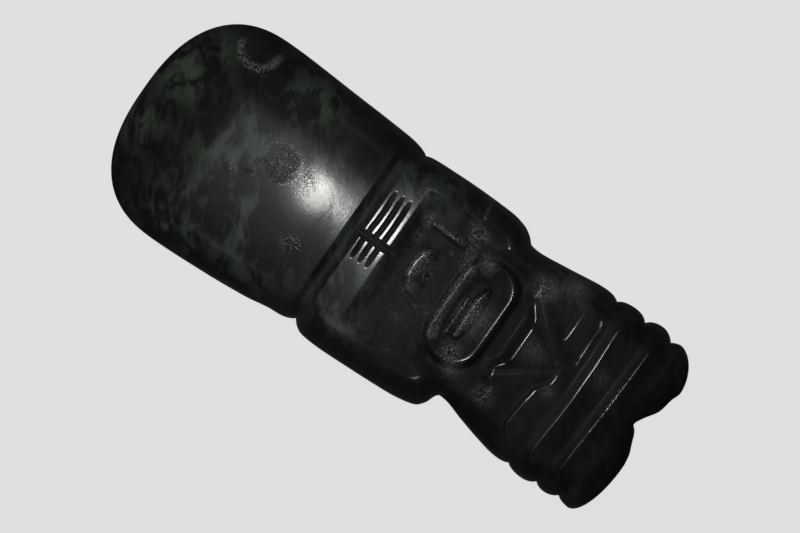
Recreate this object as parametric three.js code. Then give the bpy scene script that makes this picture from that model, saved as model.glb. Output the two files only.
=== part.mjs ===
// A jadeite axe head whose butt is carved as a cleft-headed figure.
//
// Millimetres, +Z up. The axe head lies on its plain back, carved face up: +Y runs to the figure's
// head, -Y to the cutting edge, and +X to the figure's own left hand. The origin is on the ground,
// under the middle of the outline. The stone is one closed body: a ring of points round the outline,
// a carved sheet above it and a plain sheet below it, both running in to a spine along the middle.

import * as THREE from "three";

// ---- the blank: its length, width and thickness ----

const LENGTH = 200;
const WIDTH = 77.8;
const THICKNESS = 34;
const HALF_LENGTH = LENGTH / 2;
const BLADE_HALF_WIDTH = WIDTH / 2;
const RIM_HEIGHT = 15;

// The cutting edge is a superellipse below the blade's widest line.
const BIT_DEPTH = 31;
const BIT_TOP = BIT_DEPTH - HALF_LENGTH;

// Long section: level along the waist, then curving down towards each end, and crowned across.
const LEVEL = { from: -28, to: -6 };
const BIT_RADIUS = 190;
const HEAD_RADIUS = 950;
const CROWN = 4.6;

// The edge rolls over within a distance, as a quarter ellipse at the flanks and as a bevel at the bit.
// Power 0.5 is the ellipse, and a higher power a sharper edge.
const FLANK_EDGE = { roll: 9, power: 0.5 };
const BIT_EDGE = { roll: 17, power: 0.8, from: -54, to: -88 };

// The back bulges this far below the ground, and is ground off flat there.
const GROUND_OFF = 0.9;
const BACK_CROWN = 3.2;

// ---- the outline: half widths of each flank at the heights where it turns ----

const FIGURE_FROM = -22;
const HEAD_CORNER = 91;
const NOTCH_REACH = 2.1;

const FLANKS = {
  left: {
    side: -1,
    bitSquareness: 2.42,
    widths: [
      [BIT_TOP, BLADE_HALF_WIDTH], [-42, 37.7], [-20, 36.5], [-8, 35.3], [8, 35.6], [21, 35.3],
      [27, 34.2], [30.5, 32.3], [33, 30.1], [36, 29.8], [46, 30.8], [62, 32.7], [83, 33.3],
      [HEAD_CORNER, 31.9],
    ],
    notches: [{ y: -12, depth: 1.3 }, { y: 66, depth: 1.8 }, { y: 77.4, depth: 2.6 }, { y: 88, depth: 2.2 }],
  },
  right: {
    side: 1,
    bitSquareness: 2.5,
    widths: [
      [BIT_TOP, BLADE_HALF_WIDTH], [-50, 38.2], [-34, 36.9], [-24, 35.5], [-19, 35.5], [-12, 36.8],
      [-5, 37.0], [8, 36.6], [22, 35.9], [28, 35.0], [31.5, 33.9], [34, 31.0], [35, 28.2],
      [36.2, 27.0], [38, 27.1], [46, 29.3], [54, 31.4], [62, 33.0], [76, 34.1], [HEAD_CORNER, 33.2],
    ],
    notches: [{ y: -16.5, depth: 2.6 }, { y: 67, depth: 1.5 }, { y: 78, depth: 2.2 }, { y: 86.5, depth: 2 }],
  },
};

// The head's end: two rounded lobes, and the heights across the cleft between their tops.
const LOBE_SQUARENESS = { left: 1.8, right: 2.0 };
const CLEFT = [
  [-18.5, HALF_LENGTH], [-15, 98.9], [-10, 97.9], [-4.5, 94.6], [-1.5, 93.3], [0, 94.7], [4, 96.4],
  [8, 97.9], [12, 98.4],
];

// ---- the carving: places, and depths below the blank ----

const EDGE = 1.5; // width of a carved step
const SIDE_FADE = { from: 25, to: 31 };

const BANDS = { crests: [72.3, 83.6], slope: 5.8, depth: 1.9, endDepth: 1.5 };

const FACE = { depth: 1.9, top: 66.5, bottom: 40, fade: 8 };
const EYES = [
  { x: -17.8, y: 62.7, halfLength: 8.4, halfHeight: 3.9, corner: 2.4, slant: 0.45, rise: 0.9 },
  { x: 14.5, y: 62.9, halfLength: 11.5, halfHeight: 3.6, corner: 2.4, slant: -0.45, rise: 0.7 },
];
const NOSE = { x: -1, apex: 61, base: 48.3, halfWidth: 8.2, rise: 2.2, apexShare: 0.35 };
const CHEEK_GROOVES = {
  width: 5,
  depth: 0.9,
  soft: 3,
  lines: [[[-3.5, 64], [-19, 46.5]], [[1, 64], [13.5, 48]]],
};
const HOLLOW = { depth: 4.1, top: 47, bottom: 22, arch: 0.1, halfWidth: 23, fade: 8 };

const MOUTH = { x: -0.8, y: 29.5, halfLength: 18.6, halfHeight: 9.4, corner: 8.5 };
const MOUTH_RING = { width: 3.1, depth: 1.1, troughDepth: 5.2 };
const LIPS = [
  { x: 0, y: 30, halfLength: 9.5, halfHeight: 2.1, corner: 2.1, depth: 2.6 },
  { x: 1.5, y: 25.5, halfLength: 7.5, halfHeight: 0.9, corner: 0.9, depth: 3.4 },
];

const CHEST = { left: -26.2, right: 25.4, bottom: -2.6, top: 24, lean: 0.05, slope: 4.5 };
const CHEST_DEPTH = { left: 2.7, right: 1.8, from: 5, to: 17 };
const ARM = { x: -17.3, halfWidth: 1.7, bottom: 2, rise: 1.3 };
const HANDS = { x: -2.5, bottom: 4.5, top: 15.5, halfWidth: 7.2, flare: 0.32, rise: 2.1, topShare: 0.25 };
const SLEEVE = { from: 15, bottom: 1, top: 16, soft: 3, rise: 0.6 };

const WAIST_GROOVE = { y: -17.7, halfHeight: 2.8, depth: 1.5 };
const BELT_LINES = { heights: [-7.3, -10.2, -13.1], from: -19.5, to: 7, width: 1.5, depth: 0.9 };
const BELT_TIE = { x: -1.9, bottom: -15.5, top: -3.2, width: 2.1, depth: 1.1, soft: 1 };

// ---- the mesh: how finely each stretch is sampled ----

const BIT_STEPS = 13;
const LOBE_STEPS = 8;
const CLEFT_STEPS = 16;
const FLANK_STRETCHES = [
  { from: BIT_TOP, to: FIGURE_FROM, steps: 8 },
  { from: FIGURE_FROM, to: -4, steps: 24 },
  { from: -4, to: HEAD_CORNER, steps: 56 },
];
const SPINE_TOP = 84;
const CORE = 21;
const CORE_SHARE = 0.78;
const CORE_COLUMNS = 9;
const RIM_COLUMNS = [0.95, 0.86, 0.72, 0.55, 0.37, 0.19];
const BACK_COLUMNS = [0.93, 0.8, 0.35];

// ---- small helpers ----

const clamp = (value, low, high) => Math.min(high, Math.max(low, value));
const toward = (a, b, share) => a + (b - a) * share;

// 0 to 1 with soft ends, as t runs from 0 to 1.
function ease(t) {
  const s = clamp(t, 0, 1);
  return s * s * (3 - 2 * s);
}

// 1 inside a shape and 0 outside it, from the signed distance to its border.
const inside = (distance, soft = EDGE) => ease(0.5 - distance / soft);

// Signed distance to an oblong with rounded corners.
function toOblong(x, y, shape) {
  const dx = Math.abs(x - shape.x) - shape.halfLength + shape.corner;
  const dy = Math.abs(y - shape.y) - shape.halfHeight + shape.corner;
  const outer = Math.hypot(Math.max(dx, 0), Math.max(dy, 0));
  return outer + Math.min(Math.max(dx, dy), 0) - shape.corner;
}

// Distance to the straight line between two points.
function toLine(x, y, from, to) {
  const along = [to[0] - from[0], to[1] - from[1]];
  const lengthSquared = along[0] ** 2 + along[1] ** 2;
  const share = clamp(((x - from[0]) * along[0] + (y - from[1]) * along[1]) / lengthSquared, 0, 1);
  return Math.hypot(x - from[0] - share * along[0], y - from[1] - share * along[1]);
}

// A smooth curve through [place, value] pairs that never overshoots them.
function curveThrough(pairs) {
  const slopes = pairs.map((pair, i) => {
    if (i === 0 || i === pairs.length - 1) return 0;
    const before = (pair[1] - pairs[i - 1][1]) / (pair[0] - pairs[i - 1][0]);
    const after = (pairs[i + 1][1] - pair[1]) / (pairs[i + 1][0] - pair[0]);
    return before * after <= 0 ? 0 : (2 * before * after) / (before + after);
  });
  return (place) => {
    const k = clamp(pairs.filter((pair) => pair[0] <= place).length - 1, 0, pairs.length - 2);
    const step = pairs[k + 1][0] - pairs[k][0];
    const t = clamp((place - pairs[k][0]) / step, 0, 1);
    const rise = ease(t) * (pairs[k + 1][1] - pairs[k][1]);
    const bend = t * (1 - t) ** 2 * slopes[k] - t * t * (1 - t) * slopes[k + 1];
    return pairs[k][1] + rise + bend * step;
  };
}

// ---- the outline ----

// A flank's half width: its smooth curve, less a sharp notch wherever a groove comes round the side.
function halfWidthOf(flank) {
  const smooth = curveThrough(flank.widths);
  return (y) => flank.notches.reduce(
    (width, notch) => width - notch.depth * Math.exp(-Math.abs(y - notch.y) / NOTCH_REACH),
    smooth(y),
  );
}

// The heights sampled up each flank, with every notch among them.
function flankHeights() {
  const heights = FLANK_STRETCHES.flatMap(({ from, to, steps }) =>
    Array.from({ length: steps }, (_, i) => toward(from, to, i / steps)));
  heights.push(HEAD_CORNER);
  for (const flank of Object.values(FLANKS)) {
    for (const notch of flank.notches) {
      const gaps = heights.map((y) => Math.abs(y - notch.y));
      heights[gaps.indexOf(Math.min(...gaps))] = notch.y;
    }
  }
  return heights;
}

// A quarter of a superellipse about a centre, from its side round to its top, as [x, y] pairs.
function corner(centre, reach, rise, squareness, steps) {
  return Array.from({ length: steps }, (_, i) => {
    const angle = ((i + 1) / steps) * (Math.PI / 2);
    const power = 2 / squareness;
    return [centre[0] + reach * Math.cos(angle) ** power, centre[1] + rise * Math.sin(angle) ** power];
  });
}

// One flank from the cutting edge to the top of its lobe: points, each with its row on the spine.
function flankPoints(flank, lobe, squareness, heights, lastRow) {
  const halfWidth = halfWidthOf(flank);
  const bit = corner([0, BIT_TOP], flank.side * BLADE_HALF_WIDTH, -BIT_DEPTH, flank.bitSquareness, BIT_STEPS);
  const lobeReach = flank.side * halfWidth(HEAD_CORNER) - lobe[0];
  const end = corner([lobe[0], HEAD_CORNER], lobeReach, lobe[1] - HEAD_CORNER, squareness, LOBE_STEPS);
  return [
    ...bit.reverse().slice(1).map(([x, y]) => ({ x, y, row: 0 })),
    ...heights.map((y, i) => ({ x: flank.side * halfWidth(y), y, row: Math.min(i, lastRow) })),
    ...end.map(([x, y]) => ({ x, y, row: lastRow })),
  ];
}

// The whole outline, anticlockwise from the middle of the cutting edge, and the spine it runs in to.
function outline() {
  const heights = flankHeights();
  const lastRow = heights.findIndex((height) => height >= SPINE_TOP);
  const leftLobe = CLEFT[0];
  const rightLobe = CLEFT[CLEFT.length - 1];
  const left = flankPoints(FLANKS.left, leftLobe, LOBE_SQUARENESS.left, heights, lastRow);
  const right = flankPoints(FLANKS.right, rightLobe, LOBE_SQUARENESS.right, heights, lastRow);
  const cleftHeight = curveThrough(CLEFT);
  const cleft = Array.from({ length: CLEFT_STEPS - 1 }, (_, i) => {
    const x = toward(rightLobe[0], leftLobe[0], (i + 1) / CLEFT_STEPS);
    return { x, y: cleftHeight(x), row: lastRow };
  });
  return {
    points: [{ x: 0, y: -HALF_LENGTH, row: 0 }, ...right, ...cleft, ...left.reverse()],
    spine: heights.slice(0, lastRow + 1).map((y) => ({ x: 0, y })),
  };
}

// ---- the blank ----

// How far the edge has rolled over, 0 at the outline and 1 on the face, for a distance in from it.
function rolledShare(distance, y) {
  const bit = ease((BIT_EDGE.from - y) / (BIT_EDGE.from - BIT_EDGE.to));
  const roll = toward(FLANK_EDGE.roll, BIT_EDGE.roll, bit);
  const left = 1 - clamp(distance / roll, 0, 1);
  return (1 - left * left) ** toward(FLANK_EDGE.power, BIT_EDGE.power, bit);
}

// How far the long section has sunk from its highest level.
function sunk(y) {
  const toBit = Math.max(LEVEL.from - y, 0);
  const toHead = Math.max(y - LEVEL.to, 0);
  return (toBit * toBit) / (2 * BIT_RADIUS) + (toHead * toHead) / (2 * HEAD_RADIUS);
}

const crown = (x, height) => height * (x / BLADE_HALF_WIDTH) ** 2;

function faceHeight(x, y, distance) {
  const rise = THICKNESS - RIM_HEIGHT - sunk(y) - crown(x, CROWN);
  return RIM_HEIGHT + rise * rolledShare(distance, y);
}

function backHeight(x, y, distance) {
  const drop = RIM_HEIGHT + GROUND_OFF - sunk(y) - crown(x, BACK_CROWN);
  return Math.max(0, RIM_HEIGHT - drop * rolledShare(distance, y));
}

// ---- the carving, each as a depth below the blank ----

// Sharp crests round the forehead, with a cove between them and a slope down from either side.
function foreheadDepth(y) {
  const [low, high] = BANDS.crests;
  if (y < low) return BANDS.depth * Math.sin(clamp((low - y) / BANDS.slope, 0, 1) * (Math.PI / 2));
  if (y < high) return BANDS.depth * Math.sin(((y - low) / (high - low)) * Math.PI);
  return BANDS.endDepth * Math.sin(clamp((y - high) / BANDS.slope, 0, 1) * (Math.PI / 2));
}

// An eye is an oblong pad with a slanting inner end.
function eyeRise(x, y, eye) {
  const upright = x - eye.slant * (y - eye.y);
  return eye.rise * inside(toOblong(upright, y, eye));
}

// The nose is a wedge that stands out most at its base.
function noseRise(x, y) {
  const down = clamp((NOSE.apex - y) / (NOSE.apex - NOSE.base), 0, 1);
  const flank = Math.abs(x - NOSE.x) - NOSE.halfWidth * down;
  return NOSE.rise * toward(NOSE.apexShare, 1, down) * inside(flank) * inside(NOSE.base - y);
}

function faceDepth(x, y) {
  const grooves = CHEEK_GROOVES.lines.map(([from, to]) => toLine(x, y, from, to));
  const inGroove = inside(Math.min(...grooves) - CHEEK_GROOVES.width / 2, CHEEK_GROOVES.soft);
  const rise = EYES.reduce((sum, eye) => sum + eyeRise(x, y, eye), noseRise(x, y));
  const depth = FACE.depth + CHEEK_GROOVES.depth * inGroove - rise;
  return depth * inside(FACE.bottom - y, FACE.fade);
}

// The hollow round the mouth starts under the nose and the cheeks, and dies out at the jaw.
function hollowShare(x, y) {
  const top = HOLLOW.top - HOLLOW.arch * Math.abs(x - NOSE.x);
  const jaw = inside(Math.abs(x) - HOLLOW.halfWidth, HOLLOW.fade);
  return inside(y - top) * inside(HOLLOW.bottom - y, HOLLOW.fade) * jaw;
}

// The mouth is a raised ring round a trough, with two bars of lip in it.
function withMouth(x, y, around) {
  const border = toOblong(x, y, MOUTH);
  const ring = toward(around, MOUTH_RING.depth, inside(border));
  const trough = toward(ring, MOUTH_RING.troughDepth, inside(border + MOUTH_RING.width));
  return LIPS.reduce((depth, lip) => toward(depth, lip.depth, inside(toOblong(x, y, lip))), trough);
}

// The arm is a narrow upright ridge, and the hands a wedge that is highest at its lower edge.
function chestRise(x, y) {
  const arm = ARM.rise * inside(Math.abs(x - ARM.x) - ARM.halfWidth) * inside(ARM.bottom - y);
  const up = (y - HANDS.bottom) / (HANDS.top - HANDS.bottom);
  const halfWidth = HANDS.halfWidth + HANDS.flare * (y - HANDS.bottom);
  const wedge = inside(Math.abs(x - HANDS.x) - halfWidth) * inside(HANDS.bottom - y) * inside(y - HANDS.top);
  const hands = HANDS.rise * toward(1, HANDS.topShare, clamp(up, 0, 1)) * wedge;
  const sleeve = inside(SLEEVE.from - x, SLEEVE.soft) * inside(SLEEVE.bottom - y) * inside(y - SLEEVE.top);
  return arm + hands + SLEEVE.rise * sleeve;
}

// The chest is sunk between the arms, deeper on the left, and slopes up to the belt.
function chestDepth(x, y) {
  const lean = CHEST.lean * (y - CHEST.bottom);
  const across = inside(Math.max(CHEST.left - lean - x, x - CHEST.right - lean));
  const along = inside(CHEST.bottom - y, CHEST.slope) * inside(y - CHEST.top, CHEST.slope);
  const share = ease((x - CHEST_DEPTH.from) / (CHEST_DEPTH.to - CHEST_DEPTH.from));
  return (toward(CHEST_DEPTH.left, CHEST_DEPTH.right, share) - chestRise(x, y)) * across * along;
}

// A groove under the waist, three cut lines round the belt, and the tie that crosses them.
function waistDepth(x, y) {
  const off = clamp(Math.abs(y - WAIST_GROOVE.y) / WAIST_GROOVE.halfHeight, 0, 1);
  const groove = WAIST_GROOVE.depth * Math.sqrt(1 - off * off);
  const { heights, from, to, width } = BELT_LINES;
  const nearest = Math.min(...heights.map((height) => toLine(x, y, [from, height], [to, height])));
  const line = BELT_LINES.depth * clamp(1 - nearest / (width / 2), 0, 1);
  const toTie = toLine(x, y, [BELT_TIE.x, BELT_TIE.bottom], [BELT_TIE.x, BELT_TIE.top]);
  const tie = BELT_TIE.depth * inside(toTie - BELT_TIE.width / 2, BELT_TIE.soft);
  return Math.max(groove + line, tie);
}

function carvedDepth(x, y) {
  const sides = 1 - ease((Math.abs(x) - SIDE_FADE.from) / (SIDE_FADE.to - SIDE_FADE.from));
  const head = y < FACE.top ? faceDepth(x, y) : foreheadDepth(y);
  const neck = toward(head, HOLLOW.depth, hollowShare(x, y));
  const figure = withMouth(x, y, Math.max(neck, chestDepth(x, y)));
  return figure * sides + waistDepth(x, y);
}

// ---- the body ----

// Distance from a point to the nearest stretch of the outline.
function distanceIn(x, y, points) {
  return points.reduce((nearest, point, i) => {
    const next = points[(i + 1) % points.length];
    return Math.min(nearest, toLine(x, y, [point.x, point.y], [next.x, next.y]));
  }, Infinity);
}

// Places from the outline in to the spine, as shares of that distance: closest where the edge rolls.
function columnPlaces(length) {
  const core = Math.min(CORE, CORE_SHARE * length);
  const rim = RIM_COLUMNS.map((share) => toward(core, length, share));
  const middle = Array.from({ length: CORE_COLUMNS }, (_, i) => core * (1 - i / CORE_COLUMNS));
  return [...rim, ...middle].map((place) => place / length);
}

// One sheet of the stone: rings of points from the outline in to the spine, at the heights given.
function addSheet(body, path, placesFor, heightAt, up) {
  const { points, spine } = path;
  const lift = (x, y) => [x, y, heightAt(x, y, distanceIn(x, y, points))];
  const places = points.map((point) => {
    const middle = spine[point.row];
    return placesFor(Math.hypot(point.x - middle.x, point.y - middle.y));
  });
  let outer = points.map((_, i) => i);
  for (let ring = 0; ring < places[0].length; ring += 1) {
    const inner = outer.map((_, i) => body.positions.length + i);
    points.forEach((point, i) => {
      const middle = spine[point.row];
      const share = places[i][ring];
      body.positions.push(lift(toward(middle.x, point.x, share), toward(middle.y, point.y, share)));
    });
    addBand(body, outer, inner, up);
    outer = inner;
  }
  const base = body.positions.length;
  spine.forEach((middle) => body.positions.push(lift(middle.x, middle.y)));
  addBand(body, outer, points.map((point) => base + point.row), up);
}

// Triangles between two rings. Each quad is split along its more level diagonal, so that slanting
// edges stay clean, and the triangles that a shared spine point closes up are left out.
function addBand({ positions, triangles }, outer, inner, up) {
  const fall = (a, b) => Math.abs(positions[a][2] - positions[b][2]);
  outer.forEach((a, i) => {
    const next = (i + 1) % outer.length;
    const [b, c, d] = [outer[next], inner[next], inner[i]];
    const quad = fall(a, c) <= fall(b, d) ? [[a, b, c], [a, c, d]] : [[a, b, d], [b, c, d]];
    for (const [p, q, r] of quad) {
      if (p !== q && q !== r && r !== p) triangles.push(...(up ? [p, q, r] : [p, r, q]));
    }
  });
}

function axeHeadGeometry() {
  const path = outline();
  const body = { positions: path.points.map(({ x, y }) => [x, y, RIM_HEIGHT]), triangles: [] };
  const carvedHeight = (x, y, distance) => {
    const share = rolledShare(distance, y);
    return faceHeight(x, y, distance) - carvedDepth(x, y) * share;
  };
  addSheet(body, path, columnPlaces, carvedHeight, true);
  addSheet(body, path, () => BACK_COLUMNS, backHeight, false);
  const geometry = new THREE.BufferGeometry();
  geometry.setAttribute("position", new THREE.Float32BufferAttribute(body.positions.flat(), 3));
  geometry.setIndex(body.triangles);
  geometry.computeVertexNormals();
  return geometry;
}

const jadeite = new THREE.MeshStandardMaterial({ color: 0x2a2f29, roughness: 0.32, metalness: 0 });
const axeHead = new THREE.Mesh(axeHeadGeometry(), jadeite);
axeHead.name = "axe_head";

const model = new THREE.Group();
model.add(axeHead);

export default model;
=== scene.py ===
# %% [markdown]
# # A carved jadeite axe head
# This lesson dresses one stone: an axe head about a hand long, polished smooth at its blade and carved
# at its butt as a figure with a cleft head. The plain solid comes from the CAD model, and gives the
# size, the place and the room that the stone may fill. Everything that the eye reads as stone is made
# here: the fine carving, the pits, the clouds in the jade and its polish.

import math

import bpy
import numpy as np
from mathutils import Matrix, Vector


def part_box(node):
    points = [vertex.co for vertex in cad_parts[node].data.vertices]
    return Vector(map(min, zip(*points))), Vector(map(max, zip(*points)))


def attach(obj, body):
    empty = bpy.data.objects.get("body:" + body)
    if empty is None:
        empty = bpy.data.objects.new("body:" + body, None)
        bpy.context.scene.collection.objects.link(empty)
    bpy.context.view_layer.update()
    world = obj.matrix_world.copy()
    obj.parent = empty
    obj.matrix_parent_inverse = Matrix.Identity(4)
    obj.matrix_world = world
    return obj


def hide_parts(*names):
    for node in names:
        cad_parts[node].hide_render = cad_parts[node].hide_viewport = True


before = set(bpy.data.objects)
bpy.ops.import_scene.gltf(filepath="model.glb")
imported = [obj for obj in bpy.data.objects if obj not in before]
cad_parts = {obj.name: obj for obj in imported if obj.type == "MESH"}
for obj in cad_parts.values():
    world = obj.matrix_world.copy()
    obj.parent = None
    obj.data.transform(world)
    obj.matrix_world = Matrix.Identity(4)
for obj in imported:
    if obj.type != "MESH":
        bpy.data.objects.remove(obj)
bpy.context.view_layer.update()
MM = 0.001
low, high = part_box("axe_head")
HALF_LENGTH = (high.y - low.y) / 2 / MM
HALF_WIDTH = (high.x - low.x) / 2 / MM
THICKNESS = (high.z - low.z) / MM
print(f"blank {2 * HALF_WIDTH:.1f} x {2 * HALF_LENGTH:.1f} x {THICKNESS:.1f} mm")

# %% [markdown]
# ## Looking straight down
# A flat carving is best seen from right above, where its outline is true. A long lens high over the
# table keeps the raised parts from leaning outwards. The camera is turned about the view so that the
# axe head lies on a slant, head down to the right, and it looks a little past the stone's middle.

# %% Place the camera
CAMERA_HEIGHT = 0.95
RIM_HEIGHT = 15.0
VIEW_WIDTH = 260.3 * MM
CAMERA_TURN = math.radians(125)
AIM = (0.05 * MM, 1.6 * MM)

camera = bpy.data.objects.new("camera", bpy.data.cameras.new("camera"))
bpy.context.scene.collection.objects.link(camera)
camera.location = (AIM[0], AIM[1], CAMERA_HEIGHT)
camera.rotation_euler = (0, 0, CAMERA_TURN)
camera.data.lens = camera.data.sensor_width * (CAMERA_HEIGHT - RIM_HEIGHT * MM) / VIEW_WIDTH
bpy.context.scene.camera = camera
print(f"lens {camera.data.lens:.0f} mm at {CAMERA_HEIGHT} m")

# %% [markdown]
# ## The outline
# The maker sawed and ground the blank to a shape before carving it, so the outline comes first here
# too. It could be drawn as a curve by hand, but widths given at a few heights are easier to read and
# to change. Each flank is a smooth curve through such widths, with a sharp notch wherever a carved
# groove runs round the side. The cutting edge is a superellipse, and the head ends in two lobes.

# %% Helpers for soft steps and curves
def ease(t):
    t = np.clip(t, 0, 1)
    return t * t * (3 - 2 * t)


def toward(a, b, share):
    return a + (b - a) * share


def inside(distance, soft):
    """1 inside a shape and 0 outside, from the signed distance to its border."""
    return ease(0.5 - distance / soft)


def curve_through(pairs):
    """A smooth curve through (place, value) pairs that never overshoots them."""
    places, values = np.array(pairs, float).T
    steps = np.diff(places)
    rates = np.diff(values) / steps
    slopes = np.zeros(len(places))
    same_way = rates[1:] * rates[:-1] > 0
    total = np.where(same_way, rates[1:] + rates[:-1], 1)
    slopes[1:-1] = np.where(same_way, 2 * rates[1:] * rates[:-1] / total, 0)

    def curve(place):
        k = np.clip(np.searchsorted(places, place, side="right") - 1, 0, len(steps) - 1)
        t = np.clip((place - places[k]) / steps[k], 0, 1)
        bend = t * (1 - t) ** 2 * slopes[k] - t * t * (1 - t) * slopes[k + 1]
        return values[k] + ease(t) * (values[k + 1] - values[k]) + bend * steps[k]

    return curve


# %% Describe the two flanks and the head's end
BIT_DEPTH = 31
BIT_TOP = BIT_DEPTH - HALF_LENGTH
FIGURE_FROM = -22
HEAD_CORNER = 91
NOTCH_REACH = 2.1

LEFT = {
    "side": -1,
    "squareness": 2.42,
    "widths": [
        (BIT_TOP, HALF_WIDTH), (-42, 37.7), (-20, 36.5), (-8, 35.3), (8, 35.6), (21, 35.3),
        (27, 34.2), (30.5, 32.3), (33, 30.1), (36, 29.8), (46, 30.8), (62, 32.7), (83, 33.3),
        (HEAD_CORNER, 31.9),
    ],
    "notches": [(-12, 1.3), (66, 1.8), (77.4, 2.6), (88, 2.2)],
}
RIGHT = {
    "side": 1,
    "squareness": 2.5,
    "widths": [
        (BIT_TOP, HALF_WIDTH), (-50, 38.2), (-34, 36.9), (-24, 35.5), (-19, 35.5), (-12, 36.8),
        (-5, 37.0), (8, 36.6), (22, 35.9), (28, 35.0), (31.5, 33.9), (34, 31.0), (35, 28.2),
        (36.2, 27.0), (38, 27.1), (46, 29.3), (54, 31.4), (62, 33.0), (76, 34.1), (HEAD_CORNER, 33.2),
    ],
    "notches": [(-16.5, 2.6), (67, 1.5), (78, 2.2), (86.5, 2)],
}
LOBE_SQUARENESS = {-1: 1.8, 1: 2.0}
CLEFT = [
    (-18.5, HALF_LENGTH), (-15, 98.9), (-10, 97.9), (-4.5, 94.6), (-1.5, 93.3), (0, 94.7), (4, 96.4),
    (8, 97.9), (12, 98.4),
]


def half_width(flank, y):
    width = curve_through(flank["widths"])(y)
    for height, depth in flank["notches"]:
        width = width - depth * np.exp(-abs(y - height) / NOTCH_REACH)
    return width


# %% Sample the outline
STRETCHES = [(BIT_TOP, FIGURE_FROM, 46), (FIGURE_FROM, -3, 76), (-3, 48, 118), (48, HEAD_CORNER, 92)]
BIT_STEPS, LOBE_STEPS, CLEFT_STEPS = 50, 26, 60
SPINE_TOP = 84


def flank_heights():
    runs = [np.linspace(a, b, steps, endpoint=False) for a, b, steps in STRETCHES]
    heights = np.append(np.concatenate(runs), HEAD_CORNER)
    for flank in (LEFT, RIGHT):
        for height, _ in flank["notches"]:
            heights[abs(heights - height).argmin()] = height
    return heights


def corner(centre, reach, rise, squareness, steps):
    """A quarter of a superellipse about a centre, from its side round to its top."""
    angle = np.linspace(0, math.pi / 2, steps + 1)[1:]
    power = 2 / squareness
    x = centre[0] + reach * np.abs(np.cos(angle)) ** power
    return x, centre[1] + rise * np.sin(angle) ** power


def flank_points(flank, lobe, heights, last_row):
    """One flank from the cutting edge to the top of its lobe, with each point's row on the spine."""
    side = flank["side"]
    bit_x, bit_y = corner((0, BIT_TOP), side * HALF_WIDTH, -BIT_DEPTH, flank["squareness"], BIT_STEPS)
    reach = side * half_width(flank, HEAD_CORNER) - lobe[0]
    end = (reach, lobe[1] - HEAD_CORNER, LOBE_SQUARENESS[side], LOBE_STEPS)
    end_x, end_y = corner((lobe[0], HEAD_CORNER), *end)
    x = np.concatenate([bit_x[-2::-1], side * half_width(flank, heights), end_x])
    y = np.concatenate([bit_y[-2::-1], heights, end_y])
    rows = np.minimum(np.arange(len(heights)), last_row)
    row = np.concatenate([np.zeros(BIT_STEPS - 1, int), rows, np.full(LOBE_STEPS, last_row)])
    return np.column_stack([x, y]), row


def outline():
    """The outline, anticlockwise from the middle of the cutting edge, its spine rows, and the spine."""
    heights = flank_heights()
    last_row = int(np.argmax(heights >= SPINE_TOP))
    left, left_row = flank_points(LEFT, CLEFT[0], heights, last_row)
    right, right_row = flank_points(RIGHT, CLEFT[-1], heights, last_row)
    x = np.linspace(CLEFT[-1][0], CLEFT[0][0], CLEFT_STEPS + 1)[1:-1]
    cleft = np.column_stack([x, curve_through(CLEFT)(x)])
    points = np.vstack([[(0, -HALF_LENGTH)], right, cleft, left[::-1]])
    row = np.concatenate([[0], right_row, np.full(len(cleft), last_row), left_row[::-1]])
    spine = np.column_stack([np.zeros(last_row + 1), heights[: last_row + 1]])
    return points, row, spine


edge, edge_row, spine = outline()
print(f"outline of {len(edge)} points, spine of {len(spine)}")

# %% [markdown]
# ## The blank
# Before any carving the stone is a thick lens: level along the waist, falling away towards the cutting
# edge and, much less, towards the head, and crowned a little across. Its edge is rolled over, round at
# the flanks and as a bevel at the bit. Worked as heights over the outline, each of these is one short
# formula, and the distance in from the outline is the only thing that has to be measured.

# %% Heights of the blank
LEVEL_FROM, LEVEL_TO = -28, -6
BIT_RADIUS, HEAD_RADIUS = 190, 950
CROWN, FIGURE_CROWN, BACK_CROWN = 4.6, 2.6, 3.2
GROUND_OFF = 0.9
FLANK_ROLL, FLANK_POWER = 9, 0.5
BIT_ROLL, BIT_POWER = 17, 0.8
BEVEL_FROM, BEVEL_TO = -54, -88
BATCH = 4000


def distance_in(x, y):
    """Distance from each point to the nearest stretch of the outline, worked in batches."""
    start, run = edge, np.roll(edge, -1, axis=0) - edge
    length_squared = (run**2).sum(1)
    flat = np.column_stack([x.ravel(), y.ravel()])
    nearest = np.empty(len(flat))
    for first in range(0, len(flat), BATCH):
        batch = flat[first : first + BATCH, None, :] - start
        share = np.clip((batch * run).sum(2) / length_squared, 0, 1)
        gap = batch - share[..., None] * run
        nearest[first : first + BATCH] = np.sqrt((gap**2).sum(2).min(1))
    return nearest.reshape(x.shape)


def rolled_share(distance, y):
    """0 at the outline and 1 on the face."""
    bit = ease((BEVEL_FROM - y) / (BEVEL_FROM - BEVEL_TO))
    left = 1 - np.clip(distance / toward(FLANK_ROLL, BIT_ROLL, bit), 0, 1)
    return (1 - left * left) ** toward(FLANK_POWER, BIT_POWER, bit)


def sunk(y):
    to_bit = np.maximum(LEVEL_FROM - y, 0)
    to_head = np.maximum(y - LEVEL_TO, 0)
    return to_bit**2 / (2 * BIT_RADIUS) + to_head**2 / (2 * HEAD_RADIUS)


def crowned(x, height):
    return height * (x / HALF_WIDTH) ** 2


def back_height(x, y, distance):
    below = RIM_HEIGHT + GROUND_OFF - sunk(y) - crowned(x, BACK_CROWN)
    return np.maximum(0, RIM_HEIGHT - below * rolled_share(distance, y))


# %% [markdown]
# ## Tools for carving
# The carver sank the stone round each form with saws, drills and grit, so every carved form here is a
# depth below the blank. Distances to a few plain shapes give the borders, and soft steps give the worn
# edges that polishing leaves. A slow waver bends all of them a little, because nothing on the stone
# was drawn with a ruler. The plan of the carving is drawn at the height of the rim. The carved face is
# nearer to the eye above it, and looks larger, so the plan is drawn in a little to fall where it should.

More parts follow.
